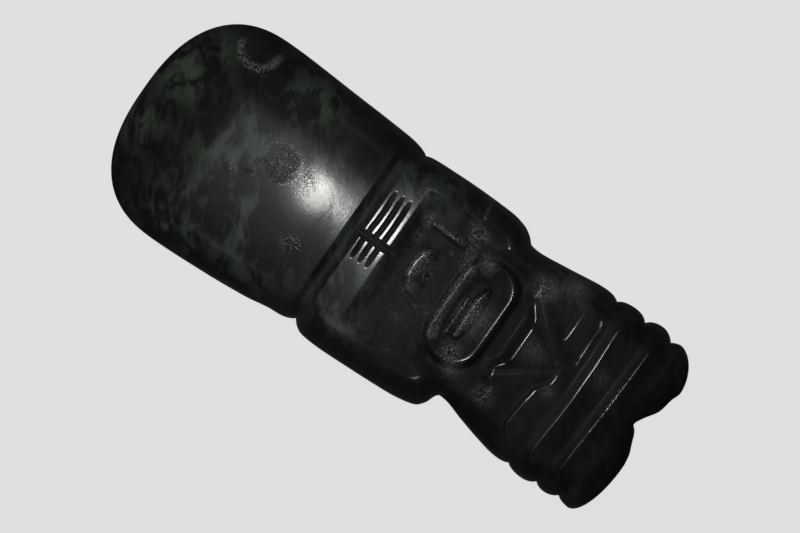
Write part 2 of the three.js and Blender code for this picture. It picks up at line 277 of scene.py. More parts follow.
# %% Lay out the plan
PLAN_CENTRE, PLAN_SCALE = (0, 1.6), 1.0165


def on_plan(x, y):
    """Where a point of the stone lies on the plan of the carving."""
    centre_x, centre_y = PLAN_CENTRE
    return centre_x + (x - centre_x) * PLAN_SCALE, centre_y + (y - centre_y) * PLAN_SCALE


# %% Distances to lines and shapes
def to_line(x, y, start, end):
    run_x, run_y = end[0] - start[0], end[1] - start[1]
    share = ((x - start[0]) * run_x + (y - start[1]) * run_y) / (run_x**2 + run_y**2)
    share = np.clip(share, 0, 1)
    return np.hypot(x - start[0] - share * run_x, y - start[1] - share * run_y)


def to_path(x, y, points):
    return np.minimum.reduce([to_line(x, y, a, b) for a, b in zip(points, points[1:])])


def to_paths(x, y, paths):
    return np.minimum.reduce([to_path(x, y, points) for points in paths])


def to_shape(x, y, corners, radius):
    """Signed distance to a polygon grown by a radius: negative inside."""
    loop = [*corners, corners[0]]
    within = np.zeros(x.shape, bool)
    for (ax, ay), (bx, by) in zip(loop, loop[1:]):
        if ay != by:
            crosses = (ay > y) != (by > y)
            within ^= crosses & (x < ax + (y - ay) * (bx - ax) / (by - ay))
    distance = to_path(x, y, loop)
    return np.where(within, -distance, distance) - radius


def to_oblong(x, y, centre, half_size, corner):
    across = abs(x - centre[0]) - half_size[0] + corner
    along = abs(y - centre[1]) - half_size[1] + corner
    outer = np.hypot(np.maximum(across, 0), np.maximum(along, 0))
    return outer + np.minimum(np.maximum(across, along), 0) - corner


def bump(x, y, centre, reach):
    """A soft round hill, 1 at its centre."""
    return np.exp(-((x - centre[0]) ** 2 + (y - centre[1]) ** 2) / reach**2)


def waver(x, y, scale, seed):
    """A slow, smooth wander between about -1 and 1."""
    random = np.random.default_rng(seed)
    total = 0
    for _ in range(5):
        turn, phase = random.uniform(0, 2 * math.pi, 2)
        wave = random.uniform(0.7, 1.5) * 2 * math.pi / scale
        total = total + np.sin(wave * (x * math.cos(turn) + y * math.sin(turn)) + phase)
    return total / 3


# %% [markdown]
# ## The forehead
# Two sharp crests cross the forehead like folded cloth: under each one the stone drops steeply, and
# then rises again to the next. The hollows meet the notches in the flanks, so the head looks bound
# with bands. Each fold is steep on one side only, and ends in a narrow valley.

# %% Carve the bands
LOW_CREST = curve_through([(-24, 71.9), (-8, 72.4), (4, 72.4), (25, 71.4)])
HIGH_CREST = curve_through([(-24, 84.3), (0, 83.5), (25, 82.4)])
FOLD_DEPTH, BROW_DEPTH, BROW_RISE, BROW_RUN = 1.9, 1.65, 0.15, 3
VALLEY_OFF, VALLEY_SOFT, DROP_POWER, LEAST_DROP = 3.4, 0.35, 0.7, 1e-6
CROWN_DEPTH, CROWN_RUN = 1.7, 6.5


def drop(t):
    """The steep side of a fold, from 0 at its crest to 1 at its valley."""
    return np.maximum(t, LEAST_DROP) ** DROP_POWER


def softer_of(a, b, soft):
    """The smaller of two depths, with the corner between them rounded."""
    return (a + b - np.sqrt((a - b) ** 2 + soft**2)) / 2


def forehead_depth(x, y):
    low, high = LOW_CREST(x), HIGH_CREST(x)
    brow = BROW_DEPTH - BROW_RISE * np.clip((low - VALLEY_OFF - y) / BROW_RUN, 0, 1)
    below = softer_of(BROW_DEPTH * drop((low - y) / VALLEY_OFF), brow, VALLEY_SOFT)
    above = CROWN_DEPTH * np.sin(np.clip((y - high) / CROWN_RUN, 0, 1) * math.pi / 2)
    back_up = FOLD_DEPTH * (y - low) / (high - low - VALLEY_OFF)
    fold = softer_of(FOLD_DEPTH * drop((high - y) / VALLEY_OFF), back_up, VALLEY_SOFT)
    return np.where(y < low, below, np.where(y > high, above, np.maximum(fold, 0)))


# %% [markdown]
# ## Eyes, nose and cheeks
# The eyes are flat pads that end in a crisp edge below, the left one sunk a little under the brow. The
# nose is a wedge that stands out most at its base, on a ramp that falls and widens from the brow. A
# crease runs down each side of it, and outside the crease a soft fold of cheek ends in a worn corner.
# Polygons with rounded corners give the pads and the wedge, and the distance to a line gives the rest.

# %% Carve the face
CHEEK_PLANE, FACE_BOTTOM, FACE_FADE = 2.35, 40, 8
RAMP_TOP, RAMP_BOTTOM, RAMP_X, RAMP_HALF = 67, 45, -2.6, 3.5
RAMP_WIDEN_FROM, RAMP_WIDEN, RAMP_SOFT = 64, 0.72, 6
LEFT_EYE = [(-24.4, 60.7), (-11.6, 60.7), (-9.8, 62.9), (-9.9, 64.6), (-20, 64.6), (-23.4, 63.4)]
RIGHT_EYE = [
    (-1.2, 66), (1, 65.4), (4.2, 64.8), (8.4, 61.8), (13, 61.1), (21.5, 60.5), (27, 62.6), (27, 68),
    (-1, 68),
]
EYE_RADIUS, EYE_EDGE = 1.9, 1.9
# Each pad: its border, its depth, and how much, where and how widely it swells.
EYES = [(LEFT_EYE, 1.85, 0.25, (-17, 62), 6), (RIGHT_EYE, 1.5, 0.3, (13, 63), 7)]
NOSE = [(-2.5, 59.6), (-8.3, 48.6), (-8.8, 44), (5, 44), (4.4, 48.6)]
NOSE_RADIUS, NOSE_TOP, NOSE_BASE, NOSE_EDGE = 0.8, 60, 48.4, 2.2
NOSE_RISE = 0.75
CREASES = [[(-3.6, 60), (-9.5, 51.5), (-16, 44.4)], [(-0.6, 61.5), (4.8, 53), (9.8, 46.5)]]
CREASE_WIDTH, CREASE_DEPTH, CREASE_SOFT = 1.2, 0.42, 3.4
CHEEK_FOLDS = [[(-8, 60), (-14, 53), (-20.5, 45.5)], [(4.5, 59.5), (10.5, 54), (17.5, 48.5)]]
CHEEK_FOLD_WIDTH, CHEEK_FOLD_RISE, CHEEK_FOLD_SOFT = 2.5, 0.22, 6.0


def face_depth(x, y):
    down = np.clip((RAMP_TOP - y) / (RAMP_TOP - RAMP_BOTTOM), 0, 1)
    ramp = toward(BROW_DEPTH - BROW_RISE, CHEEK_PLANE, down)
    reach = RAMP_HALF + RAMP_WIDEN * np.maximum(RAMP_WIDEN_FROM - y, 0)
    depth = toward(CHEEK_PLANE, ramp, inside(abs(x - RAMP_X) - reach, RAMP_SOFT))
    fold = inside(to_paths(x, y, CHEEK_FOLDS) - CHEEK_FOLD_WIDTH / 2, CHEEK_FOLD_SOFT)
    crease = inside(to_paths(x, y, CREASES) - CREASE_WIDTH / 2, CREASE_SOFT)
    depth += CREASE_DEPTH * crease - CHEEK_FOLD_RISE * fold
    to_base = np.clip((NOSE_TOP - y) / (NOSE_TOP - NOSE_BASE), 0, 1)
    on_nose = inside(to_shape(x, y, NOSE, NOSE_RADIUS), NOSE_EDGE)
    depth = toward(depth, ramp - NOSE_RISE * to_base, on_nose)
    for border, pad_depth, swell, swell_at, swell_reach in EYES:
        pad = pad_depth - swell * bump(x, y, swell_at, swell_reach)
        depth = toward(depth, pad, inside(to_shape(x, y, border, EYE_RADIUS), EYE_EDGE))
    return depth * inside(FACE_BOTTOM - y, FACE_FADE)


# %% Join the face to the forehead
BROW_Y, BROW_DIP, DIP_FROM, DIP_RUN = 66.3, 1.3, -20, 5
BROW_CRISP, BROW_BLURRED, BLUR_FROM, BLUR_RUN = 1.0, 5.0, -10, 6


def head_depth(x, y):
    """The forehead down to the brow line, and the face under it, with a crisp brow over the left eye."""
    brow = BROW_Y - BROW_DIP * ease((DIP_FROM - x) / DIP_RUN)
    soft = toward(BROW_CRISP, BROW_BLURRED, ease((x - BLUR_FROM) / BLUR_RUN))
    return toward(forehead_depth(x, y), face_depth(x, y), inside(y - brow, soft))


# %% [markdown]
# ## The mouth
# A raised ring stands in a hollow under the nose. From its crest the stone slopes in, gently above
# and steeply below, to a trough where two rough bars of lip are left standing.

# %% Carve the hollow and the mouth
HOLLOW_DEPTH, HOLLOW_BOTTOM, HOLLOW_HALF, HOLLOW_FADE = 4.1, 22, 23, 8
HOLLOW_START, HOLLOW_RUN, HOLLOW_ROUND, HOLLOW_LEAN = 1.4, 5.5, 0.9, 1.7
HOLLOW_TOP = curve_through([
    (-30, 40), (-24, 42.2), (-17, 42.6), (-14.5, 44.2), (-9, 47.3), (4.5, 47.3), (9, 45), (13, 45.2),
    (16, 47.2), (20, 47), (26, 42),
])
RING_CENTRE, RING_HALF, RING_CORNER = (-0.9, 29.3), (17.3, 8.4), 7.6
RING_OUTER, RING_DEPTH = 2.8, 0.85
TROUGH_CENTRE, TROUGH_HALF, TROUGH_CORNER = (-0.8, 28.0), (12.0, 4.6), 4.4
TROUGH_INSET, TROUGH_EDGE, TROUGH_DEPTH = 0.6, 3.0, 3.9
SLOPE_DEPTH, SLOPE_POWER, LEAST_WIDTH = 2.7, 0.8, 0.01
UPPER_LIP = [(-10, 30), (-6, 31), (0, 31.6), (5, 31), (8.6, 29.4), (8.4, 28.6), (-6, 28.6)]
UPPER_RADIUS, UPPER_EDGE, UPPER_DEPTH, UPPER_CREST, UPPER_BEND = 0.9, 1.6, 1.9, 29.3, 0.055
LOWER_LIP = [(-4, 25.9), (8.8, 25.9)]
LOWER_HALF, LOWER_EDGE, LOWER_DEPTH = 0.75, 1.4, 2.6


def hollow_share(x, y):
    jaw = inside(abs(x) - HOLLOW_HALF, HOLLOW_FADE)
    below = np.clip((HOLLOW_TOP(x) + HOLLOW_START - y) / HOLLOW_RUN, 0, 1)
    wall = 1 - (1 - ease(below) ** HOLLOW_ROUND) ** HOLLOW_LEAN
    return wall * inside(HOLLOW_BOTTOM - y, HOLLOW_FADE) * jaw


def with_mouth(x, y, around):
    ring = to_oblong(x, y, RING_CENTRE, RING_HALF, RING_CORNER)
    trough = to_oblong(x, y, TROUGH_CENTRE, TROUGH_HALF, TROUGH_CORNER)
    from_ring, from_trough = np.maximum(-ring, 0), np.maximum(trough, 0)
    slope_in = from_ring / np.maximum(from_ring + from_trough, LEAST_WIDTH)
    rim = toward(RING_DEPTH, SLOPE_DEPTH, ease(slope_in) ** SLOPE_POWER)
    depth = toward(around, rim, inside(ring - RING_OUTER / 2, RING_OUTER))
    depth = toward(depth, TROUGH_DEPTH, inside(trough + TROUGH_INSET, TROUGH_EDGE))
    upper = UPPER_DEPTH + UPPER_BEND * (y - UPPER_CREST) ** 2
    depth = toward(depth, upper, inside(to_shape(x, y, UPPER_LIP, UPPER_RADIUS), UPPER_EDGE))
    return toward(depth, LOWER_DEPTH, inside(to_path(x, y, LOWER_LIP) - LOWER_HALF, LOWER_EDGE))


# %% [markdown]
# ## Chest, arms and belt
# The chest is a panel sunk between the arms and deeper on the left, where a narrow upright ridge makes
# the forearm. A thin raised border runs down its two sides. The hands are one rounded boss with a crisp
# lower edge and a shallow crease at either side. Under the chest the belt is left
# at the full height of the blank, with three lines cut into it and a tie across them, and a round
# groove parts the figure from the blade.

# %% Carve the chest
CHEST_LEFT = curve_through([(-4, -25.4), (0, -25.6), (5, -26.3), (10, -27), (16, -27.5), (24, -27.5)])
CHEST_RIGHT = curve_through([(-4, 24), (0, 24.4), (5, 25.8), (10, 26.4), (16, 27.2), (24, 27.4)])
CHEST_BOTTOM, CHEST_SLOPE, CHEST_TOP, CHEST_FADE = -2.0, 6.5, 27, 8
CHEST_EDGE, CHEST_BLURRED, CHEST_BLUR_FROM, CHEST_BLUR_RUN = 1.5, 9, 11, 5
LEFT_FLOOR, RIGHT_FLOOR, FLOOR_FROM, FLOOR_RUN = 2.6, 1.7, 5, 12
BORDER_RISE, BORDER_OFF, BORDER_HALF, BORDER_EDGE = 0.14, 0.7, 0.3, 1.2
BORDER_TOP, BORDER_TOP_FADE, BORDER_END_FADE = 14, 3, 2
FOREARM = [(-17.7, 14.5), (-17.9, 3.2)]
FOREARM_HALF, FOREARM_EDGE, FOREARM_RISE, FOREARM_TOP, FOREARM_FADE = 1.3, 1.6, 1.15, 15, 4
HANDS = [(-7.8, 6.2), (-4, 5.5), (0.6, 5.9), (2.6, 7.2), (3.4, 9.6), (1, 11), (-6, 11), (-8.8, 9.4)]
HANDS_RADIUS, HANDS_EDGE, HANDS_BLURRED, HANDS_LOW, HANDS_HIGH = 1.6, 1.5, 5, 4.4, 14
HANDS_RISE, HANDS_FALL_FROM, HANDS_FALL_RUN = 1.5, 7, 5
HANDS_CREASES = [[(-12.6, 12), (-11.4, 8), (-10.4, 4.4)], [(5.6, 5), (7.2, 10), (8, 12)]]
HANDS_CREASE_DEPTH, HANDS_CREASE_SOFT = 0.45, 3.6
SLEEVE = [((14, 10.5), 2.6, 0.09), ((15.2, 1.6), 1.5, 0.1)]


def border_rise(y, outside):
    along = inside(y - BORDER_TOP, BORDER_TOP_FADE) * inside(CHEST_BOTTOM - y, BORDER_END_FADE)
    return BORDER_RISE * inside(abs(outside - BORDER_OFF) - BORDER_HALF, BORDER_EDGE) * along


def hands_rise(x, y):
    up = np.clip((y - HANDS_LOW) / (HANDS_HIGH - HANDS_LOW), 0, 1)
    hands = inside(to_shape(x, y, HANDS, HANDS_RADIUS), toward(HANDS_EDGE, HANDS_BLURRED, up))
    crease = inside(to_paths(x, y, HANDS_CREASES), HANDS_CREASE_SOFT)
    fall = ease((y - HANDS_FALL_FROM) / HANDS_FALL_RUN)
    return HANDS_RISE * (1 - fall) * hands - HANDS_CREASE_DEPTH * crease


def chest_depth(x, y):
    outside = np.maximum(CHEST_LEFT(y) - x, x - CHEST_RIGHT(y))
    blur = ease((y - CHEST_BLUR_FROM) / CHEST_BLUR_RUN)
    panel = inside(outside, toward(CHEST_EDGE, CHEST_BLURRED, blur))
    panel *= inside(CHEST_BOTTOM - y, CHEST_SLOPE) * inside(y - CHEST_TOP, CHEST_FADE)
    forearm = inside(to_path(x, y, FOREARM) - FOREARM_HALF, FOREARM_EDGE)
    rise = FOREARM_RISE * forearm * inside(y - FOREARM_TOP, FOREARM_FADE) + hands_rise(x, y)
    rise += sum(amount * bump(x, y, centre, reach) for centre, reach, amount in SLEEVE)
    floor = toward(LEFT_FLOOR, RIGHT_FLOOR, ease((x - FLOOR_FROM) / FLOOR_RUN))
    return (floor - rise) * panel - border_rise(y, outside)


# %% Cut the belt and the groove under it
GROOVE_Y, GROOVE_HALF, GROOVE_DEPTH, GROOVE_POWER = -17.7, 2.9, 1.5, 1.5
LINE_HEIGHTS, LINE_FROM, LINE_TO, LINE_TAPER = (-7.3, -10.2, -13.1), -19.5, 7, 3.5
LINE_HALF, LINE_DEPTH, LINE_KEENNESS, LINE_SWAY, LINE_WAVER = 0.85, 0.75, 1.3, 0.25, (22, 5)
TIE = [(-1.9, -15.6), (-1.9, -3.4)]
TIE_HALF, TIE_EDGE, TIE_DEPTH = 0.8, 1.2, 1.0
BELT_TOP, BELT_FALL = -4.5, 0.6


def waist_depth(x, y):
    off = np.clip(abs(y - GROOVE_Y) / GROOVE_HALF, 0, 1)
    depth = (GROOVE_DEPTH - BELT_FALL / 2) * (1 - off**2) ** GROOVE_POWER
    for height in LINE_HEIGHTS:
        across = abs(y - height - LINE_SWAY * waver(x, y, *LINE_WAVER))
        ends = np.maximum(LINE_FROM - x, x - LINE_TO) / LINE_TAPER
        keen = np.clip(1 - np.hypot(across / LINE_HALF, np.maximum(ends + 1, 0)), 0, 1)
        depth += LINE_DEPTH * ease(keen * LINE_KEENNESS)
    tie = to_path(x, y, TIE) - TIE_HALF
    return np.maximum(depth, TIE_DEPTH * inside(tie, TIE_EDGE))


def belt_fall(y):
    """The belt leans a little towards the blade, and the groove takes the lean back."""
    down = np.clip((BELT_TOP - y) / (BELT_TOP - GROOVE_Y), 0, 1)
    return BELT_FALL * down * (1 - ease((GROOVE_Y - y) / GROOVE_HALF))


# %% [markdown]
# ## What time left on it
# Some of the stone is worn, pitted or chipped: a round flake is lost near one corner of the blade, a
# patch of its polish is pecked away, and grit has bitten into corners that no polisher reached. Large
# marks are cut into the surface here. Fine ones are only named by place, and the finish picks them up
# from there. A few of the pale strokes are painted highlights on edges that face the lamp, and a few
# dark strokes are painted shade in creases and under ledges.

# %% Large marks
FLAKE, FLAKE_RADIUS, FLAKE_DEPTH, FLAKE_EDGE = (-32.6, -76.9), 7.2, 0.55, 1.3
FLAKE_SWAY, FLAKE_WAVER = 0.6, (9, 12)
SCRATCHES = [[(-9, -24.2), (2, -25.6), (9, -27)], [(-5, -26.2), (9, -28.4)], [(-13, -22.6), (-2, -23.4)]]
SCRATCH_DEPTH, SCRATCH_SOFT = 0.025, 1.1
CRACK = [(-27.5, 15.2), (-31, 14.8), (-33.5, 14.4), (-35.5, 13.2)]
CRACK_DEPTH, CRACK_SOFT = 0.3, 1.2
NICKS = [((22.6, 35.8), 1.0, 0.7), ((23, 54), 0.9, 0.35), ((6.6, 24.7), 0.9, 0.6), ((1, 76.4), 1.6, 0.3)]


def marks_depth(x, y):
    flake = np.hypot(x - FLAKE[0], y - FLAKE[1]) - FLAKE_RADIUS
    depth = FLAKE_DEPTH * inside(flake + FLAKE_SWAY * waver(x, y, *FLAKE_WAVER), FLAKE_EDGE)
    for line in SCRATCHES:
        depth += SCRATCH_DEPTH * inside(to_path(x, y, line), SCRATCH_SOFT)
    depth += CRACK_DEPTH * inside(to_path(x, y, CRACK), CRACK_SOFT)
    for centre, reach, cut in NICKS:
        depth += cut * bump(x, y, centre, reach)
    return depth


# %% Where the fine marks, painted highlights and painted shade are
PECKED, PECKED_RADIUS, PECKED_EDGE, PECKED_SHARE = (-5.6, -49.4), 6.0, 3.2, 0.9
PECKED_SWAY, PECKED_WAVER = 0.8, (8, 3)
PITTED_SPOTS = [
    ((-22.8, 17.2), 3.0, 1.0), ((-17.8, 17.8), 2.6, 0.7), ((-13.5, 18.2), 2.4, 0.6), ((13.4, 31), 2.6, 1.0),
    ((15.8, 28.5), 1.8, 0.7), ((0.6, 76.3), 2.4, 0.8), ((-21, 43.8), 3.4, 1.0), ((18, 48.4), 3.0, 1.0),
    ((-7.8, 7.6), 2.2, 0.9), ((-2.5, 10.6), 3.4, 0.8), ((7.5, 17.4), 2.6, 0.5), ((-5.5, -39), 4.0, 0.2),
    ((14.5, -31.2), 2.6, 0.5), ((2.6, -56.6), 1.7, 0.8), ((4.8, -62.6), 1.3, 0.8), ((22.6, 35.8), 1.6, 0.9),
    ((-22, 64), 1.1, 0.8), ((-18.2, 63.2), 0.9, 0.8), ((-21, 61), 0.9, 0.6),
]
PITTED_LINES = [
    ([(-12, 21.2), (-4, 20.6), (6, 20.9), (12, 22.3)], 1.3, 0.5), ([(-7, 29), (8, 29.6)], 1.6, 0.5),
    ([(-4, 25.9), (9, 25.9)], 0.9, 0.7), ([(-18, 14), (-18.4, 4)], 1.3, 0.6),
    ([(-19, 0.8), (-9, 0.7)], 0.8, 0.6),
    ([(-11, 83.7), (12, 83.2)], 0.8, 0.5),
    ([(-26.5, -71), (-25.3, -77), (-27, -81.6), (-32, -83.8)], 1.2, 0.9),
]
# Pale worn spots, and two painted highlights: the soft lit patches at (14, 10.8), over a slight swell, and
# at (7, 17.3), on slopes facing the lamp.
PALE_WEAR_AND_HIGHLIGHT_SPOTS = [
    ((-17, 24.5), 3.2, 0.8), ((16.8, 33.8), 3.0, 0.9), ((3.6, 7.6), 2.4, 0.9), ((-18, 0.8), 2.4, 0.8),
    ((-21.5, 45), 3.6, 0.8), ((19, 48), 3.2, 0.5), ((-2, 53), 4.0, 0.35), ((0, 30.5), 6.0, 0.7),
    ((-7.5, 76), 3.0, 0.25), ((5.8, 64.5), 2.2, 0.35), ((-27, 52), 4.0, 0.5), ((26, 0), 3.4, 0.35),
    ((-4, 7.5), 5.0, 0.45), ((-23, 16.8), 3.2, 0.8), ((13.3, 30.8), 3.0, 0.9), ((14, 10.8), 2.4, 0.25),
    ((2, 9), 26, 0.11), (PECKED, 6.5, 0.6), ((-12, 0.8), 3, 0.3), ((-11, 7.5), 2.0, 0.2),
    ((7, 17.3), 3, 0.25),
]
# Pale worn strokes, and painted highlights: the bright lower edges of the upper lip and of the hands, and
# the lit lines along the chest's two raised borders.
PALE_WEAR_AND_HIGHLIGHT_LINES = [
    ([(-12, 21.4), (-4, 20.8), (6, 21.1), (12, 22.6)], 1.6, 0.9), ([(-18.2, 14), (-18.6, 4)], 1.2, 0.5),
    ([(-33, -70), (-29.5, -70.4), (-26.5, -73), (-25.6, -77.2), (-27.2, -81.4), (-31, -83.6)], 1.0, 0.9),
    ([(-20, 17.5), (-12, 19)], 1.8, 0.5), ([(-27, 15), (-26.9, 9), (-26, 3), (-25.2, -1.8)], 0.5, 0.35),
    ([(26.9, 15), (26, 8), (24.8, 1)], 0.4, 0.25), (CRACK, 0.5, 0.4),
    ([(-5.5, 28.6), (-1, 28.2), (3, 28.5)], 0.6, 1.0),
    ([(-9.6, 7), (-8.4, 5), (-5, 4.3), (1, 4.7)], 0.6, 0.9),
    ([(-4, 26), (9, 26)], 0.5, 0.7), ([(-26, -17.7), (26, -17.7)], 1.6, 0.12),
    ([(-23, 43), (-18, 44.4)], 0.9, 0.9),
]
# Painted shade: dark strokes that take the pale tone away where shade falls, in the creases beside the
# hands, under the mouth's ring, beside the forearm, above the belt and in the mouth's slit.
SHADE_LINE_HALF, SHADE_LINE_SOFT = 0.2, 2.4
PAINTED_SHADE_LINES = [
    [(-12.6, 13.5), (-11.2, 9), (-10.6, 5.6), (-9, 3.4), (-4, 2.6), (2, 2.9)],
    [(3.2, 4.2), (5.4, 8), (6.4, 12)], [(-22, 20.3), (-15, 21.4)], [(-21.5, 14), (-21.8, 3)],
    [(-24, -2.6), (22, -2.6)], [(-10, 27.2), (9, 27.2)],
]
STROKE_SOFT = 1.6


def gathered(x, y, spots, lines):
    """The strongest of some soft spots and strokes at each point."""
    strength = np.zeros(x.shape)
    for centre, reach, amount in spots:
        strength = np.maximum(strength, amount * bump(x, y, centre, reach))
    for line, half, amount in lines:
        strength = np.maximum(strength, amount * inside(to_path(x, y, line) - half, half * STROKE_SOFT))
    return strength


def pitted_at(x, y):
    radius = PECKED_RADIUS + PECKED_SWAY * waver(x, y, *PECKED_WAVER)
    pecked = inside(np.hypot(x - PECKED[0], y - PECKED[1]) - radius, PECKED_EDGE)
    return np.maximum(PECKED_SHARE * pecked, gathered(x, y, PITTED_SPOTS, PITTED_LINES))


def pale_wear_and_highlight_at(x, y):
    """Where the stone is pale and worn, with some painted highlights, and less the painted shade at the
    foot of the carving.
    """
    painted_shade = inside(to_paths(x, y, PAINTED_SHADE_LINES) - SHADE_LINE_HALF, SHADE_LINE_SOFT)
    return gathered(x, y, PALE_WEAR_AND_HIGHLIGHT_SPOTS, PALE_WEAR_AND_HIGHLIGHT_LINES) * (1 - painted_shade)


# %% Where the clouds are
CLEAR = 0.1
CLOUDY_SPOTS = [
    ((4, -60), 16, 1.0), ((14, -42), 17, 1.0), ((-2, -32), 14, 0.9), ((-10, -60), 9, 0.9),
    ((27, -68), 12, 0.9), ((-27, -52), 9, 0.8), ((-12, -92), 10, 1.0), ((10, -95), 8, 0.8),
    ((-24, -88), 7, 0.6), ((28, -40), 9, 0.6), ((24, -8), 9, 0.6), ((-28, 2), 8, 0.5),
    ((-27, 50), 8, 0.4), ((14, -11), 9, 0.8), ((-24, -8), 7, 1.0),
]


def cloudy_at(x, y):
    return toward(CLEAR, 1, gathered(x, y, CLOUDY_SPOTS, []))


# %% [markdown]
# ## The mesh
# The stone is two sheets of rings between the outline and the spine: a dense one for the carved face
# and a coarse one for the plain back. Rings lie closest together at the rim, where the surface turns
# fastest. Building it from arrays of points is quick, and gives one closed body with no stray faces.

# %% Carve the whole face
SIDE_FADE_FROM, SIDE_FADE_TO = 26, 32
JOIN_SOFT = 0.5


def front_share(u):
    """1 over the carved front, and 0 at its sides."""
    return 1 - ease((abs(u) - SIDE_FADE_FROM) / (SIDE_FADE_TO - SIDE_FADE_FROM))


def carved_depth(u, v):
    """Depth of the carving below the blank, at a place on the plan."""
    neck = toward(head_depth(u, v), HOLLOW_DEPTH, hollow_share(u, v))
    figure = with_mouth(u, v, -softer_of(-neck, -chest_depth(u, v), JOIN_SOFT))
    return figure * front_share(u) + waist_depth(u, v) + marks_depth(u, v)


def carved_height(x, y, distance):
    share = rolled_share(distance, y)
    u, v = on_plan(x, y)
    crown = toward(CROWN, FIGURE_CROWN, ease((y - FIGURE_FROM) / -FIGURE_FROM))
    rise = THICKNESS - RIM_HEIGHT - sunk(y) - crowned(x, crown) - belt_fall(v)
    return RIM_HEIGHT + (rise - carved_depth(u, v)) * share


# %% Lay out the rings
CORE, CORE_SHARE = 21, 0.78
CORE_COLUMNS, RIM_COLUMNS, BACK_COLUMNS = 62, 24, 14
BACK_PLACES = np.cos(np.linspace(0, math.pi / 2, BACK_COLUMNS + 1)[1:-1])


def face_places(length):
    """Shares of the way from the spine to the outline, ring by ring from the rim inwards."""
    core = np.minimum(CORE, CORE_SHARE * length)
    turn = np.linspace(0, math.pi / 2, RIM_COLUMNS + 1)[1:, None]
    rim = toward(core, length, np.cos(turn))
    middle = core * (1 - np.arange(1, CORE_COLUMNS) / CORE_COLUMNS)[:, None]
    return np.vstack([rim, middle]) / length


def sheet_rings(places):
    """The rings' points, as arrays of x and y with one row for each ring."""
    centre = spine[edge_row]
    x = toward(centre[:, 0], edge[:, 0], places)
    y = toward(centre[:, 1], edge[:, 1], places)
    return x, y


spokes = np.hypot(*(edge - spine[edge_row]).T)
face_x, face_y = sheet_rings(face_places(spokes))
back_x, back_y = sheet_rings(np.repeat(BACK_PLACES[:, None], len(edge), axis=1))
print(f"{len(face_x)} rings on the face, {len(back_x)} on the back")

# %% Build the stone
def ring_faces(outer, inner, up):
    """Quads between two rings of vertex numbers."""
    a, b, c, d = outer, np.roll(outer, -1), np.roll(inner, -1), inner
    quads = np.column_stack([a, b, c, d])
    return quads if up else quads[:, ::-1]


def sheet(points, faces, x, y, height_at, up):
    """Adds a sheet from the rim to the spine. The last band's quads may close to triangles."""
    count = len(edge)
    outer = np.arange(count)
    heights = height_at(x, y, distance_in(x, y))
    for ring_x, ring_y, ring_z in zip(x, y, heights):
        inner = len(points) + np.arange(count)
        points.extend(zip(ring_x, ring_y, ring_z))
        faces.extend(ring_faces(outer, inner, up).tolist())
        outer = inner
    spine_z = height_at(spine[:, 0], spine[:, 1], distance_in(spine[:, 0], spine[:, 1]))
    inner = len(points) + edge_row
    points.extend(zip(spine[:, 0], spine[:, 1], spine_z))
    for quad in ring_faces(outer, inner, up).tolist():
        faces.append(list(dict.fromkeys(quad)))


points = [(x, y, RIM_HEIGHT) for x, y in edge]
faces = []
sheet(points, faces, face_x, face_y, carved_height, up=True)
sheet(points, faces, back_x, back_y, back_height, up=False)

mesh = bpy.data.meshes.new("carved_axe_head")
mesh.from_pydata((np.array(points) * MM).tolist(), [], faces)
mesh.shade_smooth()
stone = bpy.data.objects.new("carved_axe_head", mesh)
bpy.context.scene.collection.objects.link(stone)
triangles = sum(len(face) - 2 for face in faces)
print(f"{len(points)} points, {triangles} triangles")

# %% [markdown]
# ## Where the polish is
# Polishing reaches what stands proud and misses what lies sunk. Comparing the depth of the carving at
# a point with its mean depth in a ring about it tells the two apart, and is far quicker than measuring
# the mesh. The masks are kept on the points of the mesh, where the finish can read them.

# %% Mask the polish, the pits and the pale patches with their painted highlights and shade
REACH, COMPASS, RIM_SLACK = 1.7, 8, 0.01
SUNKEN_RUN, PROUD_OFF, PROUD_RUN = 0.7, 0.02, 0.35
BACK_POLISH, BACK_CLOUD = 0.8, 0.5
xyz = np.array(points)
u, v = on_plan(xyz[:, 0], xyz[:, 1])
front = xyz[:, 2] >= RIM_HEIGHT - RIM_SLACK
depth = carved_depth(u, v)
turns = np.arange(COMPASS) * 2 * math.pi / COMPASS
around = np.mean([carved_depth(u + REACH * math.cos(t), v + REACH * math.sin(t)) for t in turns], axis=0)
sunken = ease(np.maximum(depth, around) / SUNKEN_RUN) * front_share(u)
proud = ease((around - depth + PROUD_OFF) / PROUD_RUN)
polish = 1 - sunken * (1 - proud)
masks = {
    "polish": np.where(front, polish, BACK_POLISH),
    "pitted": np.where(front, pitted_at(u, v), 0),
    # The pale mask holds pale wear and painted highlights, less painted shade.
    "pale": np.where(front, pale_wear_and_highlight_at(u, v), 0),
    "cloudy": np.where(front, cloudy_at(u, v), BACK_CLOUD),
}
for name, values in masks.items():
    mesh.attributes.new(name, "FLOAT", "POINT").data.foreach_set("value", values.astype(np.float32))
    print(f"{name}: mean {values.mean():.2f}, from {values.min():.2f} to {values.max():.2f}")

# %% [markdown]
# ## Formulas for the finish
# A finish is a formula over the surface. Written with nodes alone it is hard to read, so one small
# class wraps a socket and lets plain arithmetic add the Math nodes. Everything else goes through one
# method that takes a node's type, its settings and its inputs.

